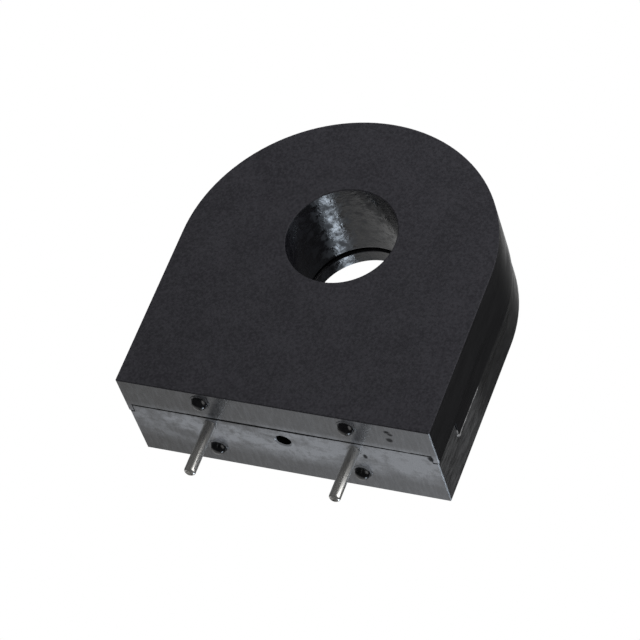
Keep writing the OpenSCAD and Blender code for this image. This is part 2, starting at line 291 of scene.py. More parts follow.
@dataclass(frozen=True)
class Plastic:
    """Moulded plastic.

    Attributes:
        name: The material's name.
        dark: The colour of its darker spots.
        light: The colour of its lighter spots.
        gloss: The shader's specular level.
        rough: The roughness, lowest and highest.
        cloud: The size in millimetres of the cloudy patches.
        cloud_share: How much the patches count in the colour, beside the grain.
        grain: The size in millimetres of the fine grain.
        grain_depth: The depth in millimetres of the fine grain.
        contrast: How far from one half the pattern reaches the two colours.
        stretch: How far each pattern is squeezed along each axis.
        paler_near_foot: A ramp up the height in millimetres that weakens the lighter spots higher
            up.
    """

    name: str
    dark: Colour
    light: Colour
    gloss: float
    rough: tuple[float, float]
    cloud: float = 3.0
    cloud_share: float = 0.6
    grain: float = 0.16
    grain_depth: float = 0.004
    contrast: float = 0.13
    stretch: Triple = (1.0, 1.0, 1.0)
    paler_near_foot: Ramp | None = None

    def material(self) -> bpy.types.Material:
        """Builds the material.

        Returns:
            The material.
        """
        made, g = new_material(self.name)
        place = g.stretched(g.millimetres(), self.stretch)
        clouds = g.noise(place, self.cloud, detail=4.0, rough=0.6)
        grain = g.noise(place, self.grain, rough=0.6)
        pattern = g.calc(
            "ADD",
            g.calc("MULTIPLY", clouds, self.cloud_share),
            g.calc("MULTIPLY", grain, 1 - self.cloud_share),
        )
        tone = g.spread(pattern, 0.5 - self.contrast, 0.5 + self.contrast, 0, 1)
        # The side is left paler low down: the lighter spots weaken with height.
        if self.paler_near_foot:
            height = g.add("SeparateXYZ", Vector=g.millimetres()).outputs["Z"]
            tone = g.calc("MULTIPLY", tone, g.spread(height, *self.paler_near_foot))
        shader = g.add(
            "BsdfPrincipled",
            Base_Color=g.blend(tone, self.dark, self.light),
            Roughness=g.spread(clouds, NOISE_LOW, NOISE_HIGH, *self.rough),
            Normal=g.relief(grain, self.grain_depth),
        )
        shader.inputs["Specular IOR Level"].default_value = self.gloss
        g.show("OutputMaterial", shader)
        return made


@dataclass(frozen=True)
class Smear:
    """A soft-edged spot on the base, in millimetres, where the painted sheen is taken off.

    Attributes:
        x: Its middle along the width.
        y: Its middle along the bore.
        half_x: Half its width.
        half_y: Half its depth.
    """

    x: float
    y: float
    half_x: float
    half_y: float


@dataclass(frozen=True)
class BaseWithPaintedSheen:
    """The base's glossy black plastic, with a pale cloudy band of painted sheen behind the seam.

    Attributes:
        name: The material's name.
        plain_colour: The plastic's own colour, where no painted sheen lies.
        painted_sheen: The pale colour of the painted sheen where it is strongest.
        gloss: The shader's specular level.
        rough: The roughness outside the smears, lowest and highest.
        mottle: The values of the veil that give those two.
        matt: How much rougher a smear is.
        band: The painted sheen's two ramps along the bore, in millimetres.
        left: The ramp along the width that weakens the painted sheen toward the left.
        rise: The ramp along the width of the faint painted sheen that lies all over.
        cloud: The size in millimetres of the clouds in the painted sheen.
        drift: How far they are squeezed along each axis.
        clouding: The ramp that turns the clouds' noise into painted sheen.
        veil: The size in millimetres of the finer patches in it.
        veiling: The ramp that turns their noise into painted sheen.
        streak: The size in millimetres of the streaks in the faint painted sheen.
        drawn: How far they are squeezed along each axis.
        streaking: The ramp that turns their noise into faint painted sheen.
        grain: The size in millimetres of the fine grain.
        grain_depth: Its depth in millimetres.
        edge: The ramp over a smear's uneven edge.
        smears: The spots without painted sheen; the long first one paints shade along the seam.
    """

    name: str = "moulded_base"
    plain_colour: Colour = (0.012, 0.012, 0.014)
    # Painted sheen: a pale colour that stands in for the lamp's highlight on the glossy base.
    painted_sheen: Colour = (0.330, 0.345, 0.375)
    gloss: float = 0.5
    rough: tuple[float, float] = (0.20, 0.36)
    mottle: tuple[float, float] = (0.3, 0.7)
    matt: float = 0.5
    band: tuple[Ramp, Ramp] = ((-1.6, -0.2, 0.0, 1.0), (1.3, 3.6, 1.0, 0.0))
    left: Ramp = (-13.5, -5.0, 0.45, 1.0)
    rise: Ramp = (-13.0, 13.0, 0.0, 0.30)
    cloud: float = 2.4
    drift: Triple = (0.7, 1.2, 1.0)
    clouding: Ramp = (0.34, 0.58, 0.25, 1.25)
    veil: float = 0.72
    veiling: Ramp = (0.36, 0.64, 0.40, 1.15)
    streak: float = 0.2
    drawn: Triple = (1.0, 0.16, 1.0)
    streaking: Ramp = (0.42, 0.72, 0.0, 0.14)
    grain: float = 0.3
    grain_depth: float = 0.004
    edge: Ramp = (0.7, 1.4, 1.0, 0.0)
    smears: tuple[Smear, ...] = (
        # The long first smear takes the sheen off along the seam: painted shade in the seam.
        Smear(-1.5, -0.925, 13.5, 0.19),
        Smear(9.9, -3.45, 0.34, 0.26),
        Smear(10.15, -3.15, 0.30, 0.20),
        Smear(9.95, -2.35, 0.36, 0.34),
        Smear(13.05, -0.55, 0.35, 0.45),
        Smear(7.15, 0.75, 0.25, 0.40),
    )

    def material(self) -> bpy.types.Material:
        """Builds the material.

        Returns:
            The material.
        """
        made, g = new_material(self.name)
        place = g.millimetres()
        axes = g.add("SeparateXYZ", Vector=place).outputs
        drifted, drawn = (g.stretched(place, by) for by in (self.drift, self.drawn))
        clouds = g.noise(drifted, self.cloud, detail=3.0, rough=0.55)
        veil = g.noise(place, self.veil, detail=4.0, rough=0.65)
        streaks = g.noise(drawn, self.streak)
        # Painted sheen: a pale cloudy band behind the seam, in place of the lamp's highlight.
        painted_sheen = g.spread(axes["Y"], *self.band[0])
        for value, ramp in (
            (axes["Y"], self.band[1]),
            (clouds, self.clouding),
            (veil, self.veiling),
            (axes["X"], self.left),
        ):
            painted_sheen = g.calc("MULTIPLY", painted_sheen, g.spread(value, *ramp))
        thin = g.calc("ADD", g.spread(axes["X"], *self.rise), g.spread(streaks, *self.streaking))
        sheen_share = g.calc("ADD", painted_sheen, thin)
        # Spots without painted sheen, one of them painted shade along the seam.
        sheen_gaps_and_seam_shade = self.sheen_gaps_and_seam_shade(g, axes, veil)
        sheen_share = g.calc("MULTIPLY", sheen_share, g.calc("SUBTRACT", 1.0, sheen_gaps_and_seam_shade))
        matt = g.calc("MULTIPLY", sheen_gaps_and_seam_shade, self.matt)
        rough = g.calc("ADD", g.spread(veil, *self.mottle, *self.rough), matt)
        shader = g.add(
            "BsdfPrincipled",
            Base_Color=g.blend(sheen_share, self.plain_colour, self.painted_sheen),
            Roughness=rough,
            Normal=g.relief(g.noise(place, self.grain), self.grain_depth),
        )
        shader.inputs["Specular IOR Level"].default_value = self.gloss
        g.show("OutputMaterial", shader)
        return made

    def sheen_gaps_and_seam_shade(
        self, g: Graph, axes: bpy.types.NodeOutputs, veil: bpy.types.NodeSocket
    ) -> bpy.types.NodeSocket:
        """Maps where the painted sheen is taken off, which along the seam paints shade.

        Args:
            g: The material's graph.
            axes: The place's three parts in millimetres.
            veil: A pattern that makes the edges uneven.

        Returns:
            A value from 0, full painted sheen, to 1, none.
        """
        total = 0.0
        for smear in self.smears:
            across = g.spread(axes["X"], smear.x - smear.half_x, smear.x + smear.half_x, -1, 1)
            along = g.spread(axes["Y"], smear.y - smear.half_y, smear.y + smear.half_y, -1, 1)
            far = g.calc("MULTIPLY", across, across)
            far = g.calc("ADD", far, g.calc("MULTIPLY", along, along))
            near = g.spread(g.calc("ADD", far, veil), *self.edge)
            total = g.calc("MAXIMUM", total, near)
        return total


@dataclass(frozen=True)
class Metal:
    """Bare, tinned or enamelled metal.

    Attributes:
        name: The material's name.
        bright: The colour of its brighter spots.
        dull: The colour of its duller spots.
        rough: The roughness, lowest and highest.
        patch: The size in millimetres of the dull patches.
        stretch: How far the pattern is squeezed along each axis.
        line_depth: The depth in millimetres of the drawn lines.
        line_share: Their size, as a share of a patch's.
        bare: The share that shines as bare metal, beside a dull oxide.
    """

    name: str
    bright: Colour
    dull: Colour
    rough: tuple[float, float]
    patch: float = 0.5
    stretch: Triple = (1.0, 1.0, 1.0)
    line_depth: float = 0.002
    line_share: float = 0.3
    bare: float = 1.0

    def material(self) -> bpy.types.Material:
        """Builds the material.

        Returns:
            The material.
        """
        made, g = new_material(self.name)
        place = g.stretched(g.millimetres(), self.stretch)
        patches = g.noise(place, self.patch, detail=3.0, rough=0.6)
        tone = g.spread(patches, NOISE_LOW, NOISE_HIGH, 0, 1)
        shader = g.add(
            "BsdfPrincipled",
            Base_Color=g.blend(tone, self.bright, self.dull),
            Roughness=g.spread(patches, NOISE_LOW, NOISE_HIGH, *self.rough),
            Normal=g.relief(g.noise(place, self.patch * self.line_share), self.line_depth),
        )
        shader.inputs["Metallic"].default_value = self.bare
        g.show("OutputMaterial", shader)
        return made


def copy_of(node: str, name: str) -> bpy.types.Object:
    """Makes a new piece with the shape of a CAD node and hides the node.

    Args:
        node: The CAD node.
        name: The new piece's name.

    Returns:
        The new piece, which rides on the part's one body.
    """
    piece = bpy.data.objects.new(name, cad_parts[node].data.copy())
    bpy.context.scene.collection.objects.link(piece)
    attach(piece, ROOT)
    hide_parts(node)
    return piece


def piece_from(
    name: str, shape: bmesh.types.BMesh, materials: list[bpy.types.Material]
) -> bpy.types.Object:
    """Makes a new piece from a mesh in millimetres.

    Args:
        name: The piece's name.
        shape: Its mesh, which is freed.
        materials: Its materials, by the index that its faces hold.

    Returns:
        The new piece, which rides on the part's one body.
    """
    bmesh.ops.scale(shape, vec=(MM, MM, MM), verts=shape.verts)
    bmesh.ops.recalc_face_normals(shape, faces=shape.faces)
    mesh = bpy.data.meshes.new(name)
    shape.to_mesh(mesh)
    shape.free()
    for material in materials:
        mesh.materials.append(material)
    piece = bpy.data.objects.new(name, mesh)
    bpy.context.scene.collection.objects.link(piece)
    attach(piece, ROOT)
    return piece


def skin(
    shape: bmesh.types.BMesh, rings: list[list[bmesh.types.BMVert]]
) -> list[bmesh.types.BMFace]:
    """Joins rings of corners with smooth faces.

    Args:
        shape: The mesh that holds the corners.
        rings: The rings in order. A ring of one corner closes the shape to a point.

    Returns:
        The new faces.
    """
    sides = max(len(ring) for ring in rings)
    faces = []
    for a, b in zip(rings, rings[1:]):
        for k in range(sides):
            n = (k + 1) % sides
            around = [a[k % len(a)], a[n % len(a)], b[n % len(b)], b[k % len(b)]]
            face = shape.faces.new(list(dict.fromkeys(around)))
            face.smooth = True
            faces.append(face)
    return faces


@dataclass
class Housing:
    """The case's two moulded shells, their four feet and the resin round the pins' roots.

    All sizes are in millimetres.

    Attributes:
        front_y: The plane of the front face.
        base_z: The plane of the base.
        bore_z: The height of the bore's centre.
        bore_r: The bore's radius.
        vent_y: The vent's place along the bore.
        vent_r: The vent's radius.
        pin_x: The pins' distance from the middle.
        relief_r: The radius of the relief round a pin.
        edge: How far the front face's broken edges reach back.
        rear_y: The depth of the rear face.
        seam_y: The depths between which the base's seam runs.
        seam_top: How far over the base a face still lines that seam.
        well_top: How far over the base a face still lines the vent or a relief.
        bore_wall: How far outside the bore's radius a face still lines it.
        bore_start: How far behind the front face the bore's finish begins.
        base_edge: How far over the base its rounded edges reach.
        foot_r: The radius of a foot at its root.
        foot_h: The height of a foot.
        foot_x: The feet's distance from the middle along the width.
        foot_y: Their distance from the row of pins.
        bead: Half the width of the bead round a foot's root.
        bead_h: The bead's height.
        sunk: How deep a foot's root stands in the base.
        flat: The radius of the flat at a foot's end.
        seal_r: The resin's inner and outer radius. Both reach a little into what it meets.
        seal_h: The resin's height in the relief.
        seal_gap: How far the resin's rim stands over the base's plane.
        dish: How far its middle does, since it is dished.
        meniscus: How far out from its inner radius its rim starts.
        tolerance: How near a face lies to its plane.
    """

    front_y: float = -4.3
    base_z: float = 0.7
    bore_z: float = 18.0
    bore_r: float = 4.75
    vent_y: float = 0.6
    vent_r: float = 0.65
    pin_x: float = 6.35
    relief_r: float = 0.65
    edge: float = 0.09
    rear_y: float = 5.4
    seam_y: tuple[float, float] = (-1.1, 0.2)
    seam_top: float = 4.0
    well_top: float = 5.0
    bore_wall: float = 0.4
    bore_start: float = 0.2
    base_edge: float = 0.5
    foot_r: float = 0.68
    foot_h: float = 0.7
    foot_x: float = 6.4
    foot_y: float = 3.15
    bead: float = 0.09
    bead_h: float = 0.072
    sunk: float = 0.05
    flat: float = 0.05
    seal_r: tuple[float, float] = (0.48, 0.66)
    seal_h: float = 0.3
    seal_gap: float = 0.004
    dish: float = 0.03
    meniscus: float = 0.02
    tolerance: float = 0.02

    def zone(self, centre: Vector, normal: Vector) -> Zone:
        """Says which zone of a shell a face belongs to.

        Args:
            centre: The face's centre in millimetres.
            normal: The face's normal.

        Returns:
            The zone.
        """
        from_axis = math.hypot(centre.x, centre.z - self.bore_z)
        rise = centre.z - self.base_z
        # Faces in the vent, the reliefs and the seam's walls get the painted shade.
        if rise < self.well_top and self.in_well(centre):
            return Zone.WELL
        in_seam = abs(normal.y) > SQUARE and self.seam_y[0] < centre.y < self.seam_y[1]
        if in_seam and self.tolerance < rise < self.seam_top:
            return Zone.WELL
        if from_axis < self.bore_r + self.bore_wall and centre.y > self.front_y + self.bore_start:
            return Zone.BORE
        in_front = normal.y < -LEANING and centre.y < self.front_y + self.edge
        if in_front or (normal.y > SQUARE and centre.y > self.rear_y - self.tolerance):
            return Zone.FACE
        if normal.z < -DOWNWARD and rise < self.base_edge:
            return Zone.BASE
        return Zone.FLANK

    def in_well(self, centre: Vector) -> bool:
        """Says whether a face lines the vent or the relief round a pin.

        Args:
            centre: The face's centre in millimetres.

        Returns:
            Whether it does.
        """
        if centre.z < self.base_z + self.tolerance:
            return False
        past_vent = math.hypot(centre.x, centre.y - self.vent_y) - self.vent_r
        past_relief = math.hypot(abs(centre.x) - self.pin_x, centre.y) - self.relief_r
        return min(past_vent, past_relief) < self.tolerance

    def finishes(self) -> dict[Zone, Plastic | BaseWithPaintedSheen]:
        """Gives the finish of each zone, but for the rear shell's flank."""
        return {
            Zone.FACE: Plastic(
                "moulded_face", (0.0245, 0.0240, 0.0285), (0.0400, 0.0392, 0.0460), 0.16,
                (0.55, 0.66), cloud=3.5, cloud_share=0.25, grain=0.20, grain_depth=0.008,
                contrast=0.12,
            ),
            Zone.FLANK: Plastic(
                "moulded_flank", (0.004, 0.004, 0.005), (0.012, 0.012, 0.013), 0.36, (0.24, 0.40),
                cloud=2.0, grain=0.2, grain_depth=0.003, stretch=(1.0, 1.0, 0.12),
            ),
            Zone.BASE: BaseWithPaintedSheen(),
            Zone.BORE: Plastic(
                "moulded_bore", (0.004, 0.004, 0.006), (0.014, 0.014, 0.018), 0.5, (0.08, 0.50),
                cloud=0.8, grain=0.30, grain_depth=0.024,
            ),
            Zone.FOOT: Plastic(
                "moulded_foot", (0.003, 0.003, 0.004), (0.008, 0.008, 0.009), 0.5, (0.14, 0.24),
                cloud=0.6, grain=0.25, grain_depth=0.006,
            ),
            # Painted shade: the recesses' lining is near-black and glossless.
            Zone.WELL: Plastic(
                "painted_recess_shade", (0.002, 0.002, 0.002), (0.004, 0.004, 0.004), 0.05, (0.8, 0.95),
            ),
        }

    def build(self) -> list[bpy.types.Object]:
        """Builds and dresses both shells, the four feet and the two rings of resin.

        Returns:
            The pieces.
        """
        zones = list(Zone)
        materials = {zone: finish.material() for zone, finish in self.finishes().items()}
        # The rear shell's flank is paler near its foot.
        streaked = Plastic(
            "moulded_cover_flank", (0.004, 0.004, 0.004), (0.125, 0.125, 0.127), 0.36, (0.24, 0.42),
            cloud=0.9, cloud_share=0.45, grain=0.26, grain_depth=0.004, contrast=0.2,
            stretch=(1.0, 1.0, 0.22), paler_near_foot=(8.0, 10.5, 1.0, 0.3),
        ).material()
        pieces = []
        for node, name, slot in (
            ("front_case", "front_shell", "shell_plastic"),
            ("rear_cover", "rear_shell", "cover_plastic"),
        ):
            piece = copy_of(node, name)
            piece.data.materials.clear()
            for zone in zones:
                rear_flank = zone is Zone.FLANK and node == "rear_cover"
                piece.data.materials.append(streaked if rear_flank else materials[zone])
            self.clear_feet(piece.data)
            for face in piece.data.polygons:
                face.material_index = zones.index(self.zone(face.center / MM, face.normal))
            pieces.append(piece)
        bead_and_dome = [materials[Zone.BASE], materials[Zone.FOOT]]
        for name, x, y, slot in (
            ("foot_front_left", -self.foot_x, -self.foot_y, "shell_plastic"),
            ("foot_front_right", self.foot_x, -self.foot_y, "shell_plastic"),
            ("foot_rear_left", -self.foot_x, self.foot_y, "cover_plastic"),
            ("foot_rear_right", self.foot_x, self.foot_y, "cover_plastic"),
        ):
            pieces.append(piece_from(name, self.dome(x, y), bead_and_dome))
        for name, x in (("seal_left", -self.pin_x), ("seal_right", self.pin_x)):
            pieces.append(piece_from(name, self.seal(x), [materials[Zone.BASE]]))
        return pieces

    def clear_feet(self, mesh: bpy.types.Mesh) -> None:
        """Takes the plain feet off a shell and closes the base where they stood.

        Args:
            mesh: The shell's mesh in metres.
        """
        shape = bmesh.new()
        shape.from_mesh(mesh)
        below = (self.base_z - self.tolerance) * MM
        feet = [face for face in shape.faces if face.calc_center_median().z < below]
        bmesh.ops.delete(shape, geom=feet, context="FACES")
        for x in (-self.foot_x, self.foot_x):
            for y in (-self.foot_y, self.foot_y):
                rim = [
                    vert for vert in shape.verts
                    if abs(vert.co.z / MM - self.base_z) < self.tolerance
                    and abs(math.hypot(vert.co.x / MM - x, vert.co.y / MM - y) - self.foot_r)
                    < self.tolerance
                ]
                if rim:
                    rim.sort(key=lambda v: math.atan2(v.co.y / MM - y, v.co.x / MM - x))
                    shape.faces.new(rim[::-1])
        shape.to_mesh(mesh)
        shape.free()

    def dome(self, x: float, y: float) -> bmesh.types.BMesh:
        """Turns one domed foot with a small flat at its end and a bead round its root.

        Args:
            x: Its place along the width in millimetres.
            y: Its place along the bore in millimetres.

        Returns:
            The mesh in millimetres.
        """
        bead_rows, rows, sides, fullness = 8, 16, 40, 0.96
        root_z = self.base_z + self.sunk
        outline = [(0.0, root_z), (self.foot_r + 2 * self.bead, root_z)]
        for k in range(bead_rows):
            lean = math.radians(180) * k / bead_rows
            r = self.foot_r + self.bead * (1 + math.cos(lean))
            outline.append((r, self.base_z - self.bead_h * math.sin(lean)))
        for k in range(rows + 1):
            lean = math.radians(90) * k / rows
            r = max(self.foot_r * math.cos(lean) ** fullness, self.flat)
            outline.append((r, self.base_z - self.foot_h * math.sin(lean) ** fullness))
        outline.append((0.0, self.base_z - self.foot_h))
        return self.turned(outline, x, y, sides, self.base_z - self.bead_h)

    def seal(self, x: float) -> bmesh.types.BMesh:
        """Turns the ring of resin that closes the relief round a pin.

        Args:
            x: The pin's place along the width in millimetres.

        Returns:
            The mesh in millimetres.
        """
        (inner, outer), sides = self.seal_r, 48
        top, rim = self.base_z + self.seal_h, self.base_z + self.seal_gap
        outline = [
            (inner, top), (outer, top), (outer, rim),
            ((inner + outer) / 2, self.base_z + self.dish), (inner + self.meniscus, rim),
            (inner, top),
        ]
        return self.turned(outline, x, 0.0, sides, -math.inf)

    def turned(
        self, outline: list[tuple[float, float]], x: float, y: float, sides: int, end_z: float
    ) -> bmesh.types.BMesh:
        """Turns an outline about an upright axis.

        Args:
            outline: Radii and heights in millimetres.
            x: The axis's place along the width.
            y: The axis's place along the bore.
            sides: How many sides it is turned with.
            end_z: The height below which a face takes the second material.

        Returns:
            The mesh in millimetres.
        """
        shape = bmesh.new()
        turns = [math.tau * k / sides for k in range(sides)]
        rings = [
            [
                shape.verts.new((x + r * math.cos(turn), y + r * math.sin(turn), z))
                for turn in (turns if r else turns[:1])
            ]
            for r, z in outline
        ]
        for face in skin(shape, rings):
            face.material_index = int(face.calc_center_median().z < end_z)
        bmesh.ops.remove_doubles(shape, verts=shape.verts, dist=1e-5)
        return shape


@dataclass
class Flash:
    """Thin flash that the moulds left on the seam, drawn as ribbons with ragged edges.

    Each point of a ribbon is its depth, its height and its half width in millimetres.

    Attributes:
        side_x: How far out the rear shell's side stands.
        case_x: How far out the front shell's side stands.
        seam: The ribbon up the side's seam.
        hook: The ribbon along the top of the terminal block.
        tear: The ragged patch where the flash tore off.
        bead_y: The middle of the open seam across the base.
        bead: The bead in that seam: its places along the width and how far over the base's plane
            each lies.
        bead_half: Half the bead's width.
        bead_top: How far over the base's plane the bead's hidden side lies.
        crest: A ribbon's half width at its ridge, as a share of that at its foot.
        root: How far a ribbon reaches into the shell.
        lift: The least share of its reach that a ribbon has, and the share that comes on top.
        swell: The half width in millimetres at which a ribbon has half of that second share.
        rag: How strongly the ridge's reach strays.
        rag_rate: How many times a millimetre it strays.
    """

    side_x: float = 13.6
    case_x: float = 13.7
    seam: tuple[Triple, ...] = (
        (1.70, 4.62, 0.16), (1.76, 4.85, 0.26), (1.70, 5.20, 0.17), (1.66, 5.75, 0.12),
        (1.68, 6.30, 0.15), (1.66, 6.90, 0.10), (1.65, 7.40, 0.12), (1.65, 7.90, 0.08),
        (1.64, 8.40, 0.13), (1.65, 8.80, 0.20),
    )
    hook: tuple[Triple, ...] = (
        (1.60, 4.60, 0.14), (1.42, 4.58, 0.09), (1.22, 4.60, 0.06), (1.02, 4.66, 0.11),
        (0.84, 4.92, 0.12), (0.72, 5.18, 0.06),
    )
    tear: tuple[Triple, ...] = (
        (1.52, 8.62, 0.10), (1.64, 8.90, 0.26), (1.60, 9.25, 0.34), (1.48, 9.55, 0.22),
        (1.38, 9.80, 0.08),
    )
    bead_y: float = -0.925
    bead: tuple[tuple[float, float], ...] = (
        (10.45, 0.30), (10.65, 0.10), (10.9, 0.03), (11.2, 0.02), (11.5, 0.05), (11.8, 0.14),
        (12.05, 0.32),
    )
    bead_half: float = 0.08
    bead_top: float = 0.5
    crest: float = 0.45
    root: float = 0.02
    lift: tuple[float, float] = (0.55, 0.4)
    swell: float = 0.05
    rag: float = 0.5
    rag_rate: float = 3.0

    def ribbon(
        self, name: str, points: tuple[Triple, ...], material: bpy.types.Material
    ) -> bpy.types.Object:
        """Builds one ridge of flash on the rear shell's right side, no higher than the front's.

        Args:
            name: The piece's name.
            points: The ridge's line, as depth, height and half width.
            material: Its finish.

        Returns:
            The piece.
        """
        shape = bmesh.new()
        rows = []
        spots = [Vector((0.0, y, z)) for y, z, _ in points]
        for i, (y, z, half) in enumerate(points):
            run = (spots[min(i + 1, len(spots) - 1)] - spots[max(i - 1, 0)]).normalized()
            side = Vector((0.0, -run.z, run.y))
            place = Vector((y * self.rag_rate, z * self.rag_rate, 0.0))
            ragged = 1 + self.rag * noise.noise(place)
            least, more = self.lift
            share = least + more * ragged * half / (half + self.swell)
            lift = (self.case_x - self.side_x) * share
            inner, outer = self.side_x - self.root, min(self.side_x + lift, self.case_x)
            rows.append([
                shape.verts.new((x, y + side.y * half * s, z + side.z * half * s))
                for x, s in ((inner, 1.0), (inner, -1.0), (outer, -self.crest), (outer, self.crest))
            ])
        self.close(shape, rows)
        return piece_from(name, shape, [material])

    def close(self, shape: bmesh.types.BMesh, rows: list[list[bmesh.types.BMVert]]) -> None:
        """Joins rows of four corners into a closed bar.

        Args:
            shape: The mesh.
            rows: The rows, each in the same order round the bar.
        """
        for a, b in zip(rows, rows[1:]):
            for k in range(4):
                shape.faces.new((a[k], a[(k + 1) % 4], b[(k + 1) % 4], b[k]))
        shape.faces.new(rows[0])
        shape.faces.new(rows[-1])
        bmesh.ops.triangulate(shape, faces=[face for face in shape.faces if len(face.verts) > 3])

    def build(self, base_z: float) -> list[bpy.types.Object]:
        """Builds the flash on the side and the bead in the base's seam.

        Args:
            base_z: The plane of the base.

        Returns:
            The pieces.
        """
        # Pale flash: partly scuffs and partly painted highlight along the seam's edges.
        pale = Plastic(
            "flash_scuffs_and_painted_highlight", (0.12, 0.12, 0.12), (0.60, 0.60, 0.60), 0.5, (0.3, 0.5),
            cloud=0.4, grain=0.12, grain_depth=0.02,
        ).material()
        dull = Plastic(
            "seam_bead", (0.03, 0.03, 0.033), (0.09, 0.09, 0.10), 0.5, (0.25, 0.4), cloud=0.5,
        ).material()
        pieces = [
            self.ribbon("flash_seam", self.seam, pale),
            self.ribbon("flash_hook", self.hook, pale),
            self.ribbon("flash_tear", self.tear, pale),
        ]
        shape = bmesh.new()
        half, top = self.bead_half, self.bead_top
        rows = [
            [
                shape.verts.new((x, self.bead_y + dy, base_z + dz))
                for dy, dz in ((-half, rise), (half, rise), (half, top), (-half, top))
            ]
            for x, rise in self.bead
        ]
        self.close(shape, rows)
        pieces.append(piece_from("seam_bead", shape, [dull]))
        return pieces


@dataclass
class Pins:
    """The two terminal pins of drawn, tinned wire, each sheared off at its tip.

    Each point of the outline is a radius and a height over the base, in millimetres.

    Attributes:
        base_z: The plane of the base.
        outline: The pin's outline from the middle of its tip to the top of its post.
        sides: How many sides it is turned with.
        step: The longest stretch between two rings.
        wobble: How far the drawn surface strays from a true cylinder.
        wobble_rate: How finely it strays round the pin.
        drawn: How much more slowly it strays along the pin.
        sheared_z: The height below which the tip's rim is sheared.
    """

    base_z: float = 0.7
    outline: tuple[tuple[float, float], ...] = (
        (0.0, -4.79), (0.16, -4.82), (0.27, -4.85), (0.34, -4.835), (0.42, -4.78), (0.475, -4.71),
        (0.497, -4.62), (0.497, 0.08), (0.537, 0.45), (0.537, 3.9), (0.9, 3.9), (0.9, 4.3),
        (0.497, 4.3), (0.497, 5.94), (0.44, 6.0), (0.0, 6.0),
    )
    sides: int = 48
    step: float = 0.35
    wobble: float = 0.006
    wobble_rate: float = 1.7
    drawn: float = 0.25
    sheared_z: float = -4.81

    def rings(self) -> list[tuple[float, float]]:
        """Gives the outline with long stretches divided."""
        out = [self.outline[0]]
        for (r0, z0), (r1, z1) in zip(self.outline, self.outline[1:]):
            parts = max(1, math.ceil(math.hypot(r1 - r0, z1 - z0) / self.step))
            for k in range(1, parts + 1):
                out.append((r0 + (r1 - r0) * k / parts, z0 + (z1 - z0) * k / parts))
        return out

    def build(self) -> list[bpy.types.Object]:
        """Builds both pins.

        Returns:
            The two pieces.
        """
        tinned = Metal(
            "tinned_wire", (0.84, 0.83, 0.80), (0.52, 0.51, 0.49), (0.22, 0.36),
            patch=0.5, stretch=(1.0, 1.0, 0.12), line_depth=0.004, bare=0.86,
        ).material()
        sheared = Metal(
            "sheared_end", (0.30, 0.29, 0.27), (0.09, 0.085, 0.08), (0.35, 0.6),
            patch=0.35, line_depth=0.02,
        ).material()
        pieces = []
        for node in ("pin_left", "pin_right"):
            low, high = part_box(node)
            middle = Vector(((low[0] + high[0]) / 2, (low[1] + high[1]) / 2, 0)) / MM
            name = node.replace("pin", "drawn_pin")
            piece = piece_from(name, self.turned(middle), [tinned, sheared])
            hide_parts(node)
            pieces.append(piece)
        return pieces

    def turned(self, middle: Vector) -> bmesh.types.BMesh:
        """Turns one pin about its axis.

        Args:
            middle: The axis's place in millimetres.

        Returns:
            The mesh in millimetres.
        """
        shape = bmesh.new()
        rings = []
        for r, z in self.rings():
            if r == 0.0:
                rings.append([shape.verts.new((middle.x, middle.y, self.base_z + z))])
                continue
            ring = []
            for k in range(self.sides):
                turn = math.tau * k / self.sides
                spot = Vector((math.cos(turn), math.sin(turn), z * self.drawn + middle.x))
                reach = r - self.wobble * (1 + noise.noise(spot * self.wobble_rate)) / 2
                x, y = middle.x + reach * math.cos(turn), middle.y + reach * math.sin(turn)
                ring.append(shape.verts.new((x, y, self.base_z + z)))
            rings.append(ring)
        for face in skin(shape, rings):
            height = sum(vert.co.z for vert in face.verts) / len(face.verts) - self.base_z
            at_tip = len(face.verts) == 3 and height < 0
            face.material_index = int(height < self.sheared_z or at_tip)
        return shape


@dataclass
class Internals:
    """Everything inside the case: CAD nodes that keep their shape and take a finish.

    Attributes:
        finishes: The finishes, each with the nodes that wear it.
    """

    finishes: tuple[tuple[Metal | Plastic, tuple[str, ...]], ...] = (
        (Metal("core_strip", (0.5, 0.5, 0.5), (0.35, 0.35, 0.36), (0.3, 0.5)), ("core",)),
        (
            Plastic("core_box_nylon", (0.62, 0.58, 0.46), (0.72, 0.68, 0.56), 0.4, (0.4, 0.6)),
            ("core_box", "core_box_lid"),
        ),
        (
            Metal("enamelled_wire", (0.60, 0.22, 0.07), (0.45, 0.15, 0.05), (0.2, 0.35)),
            ("winding", "lead_left", "lead_right"),
        ),
        (
            Plastic("amber_tape", (0.62, 0.36, 0.05), (0.75, 0.46, 0.08), 0.5, (0.15, 0.3)),
            ("winding_tape",),
        ),
        (
            Plastic(
                "grey_foam", (0.08, 0.08, 0.085), (0.16, 0.16, 0.17), 0.2, (0.8, 0.95),
                grain_depth=0.05,
            ),
            ("foam_front", "foam_rear"),
        ),
        (
            Plastic("white_sleeve", (0.70, 0.70, 0.66), (0.80, 0.80, 0.76), 0.5, (0.3, 0.4)),
            ("sleeve_left", "sleeve_right"),
        ),
        (
            Metal("solder_joint", (0.66, 0.66, 0.66), (0.45, 0.45, 0.46), (0.15, 0.4)),
            ("solder_left", "solder_right"),
        ),
    )

    def dress(self) -> None:
        """Gives each node its finish."""
        for finish, nodes in self.finishes:
            material = finish.material()
            for node in nodes:
                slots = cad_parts[node].data.materials
                slots.clear()
                slots.append(material)
                LOG.info("%s wears %s", node, material.name)


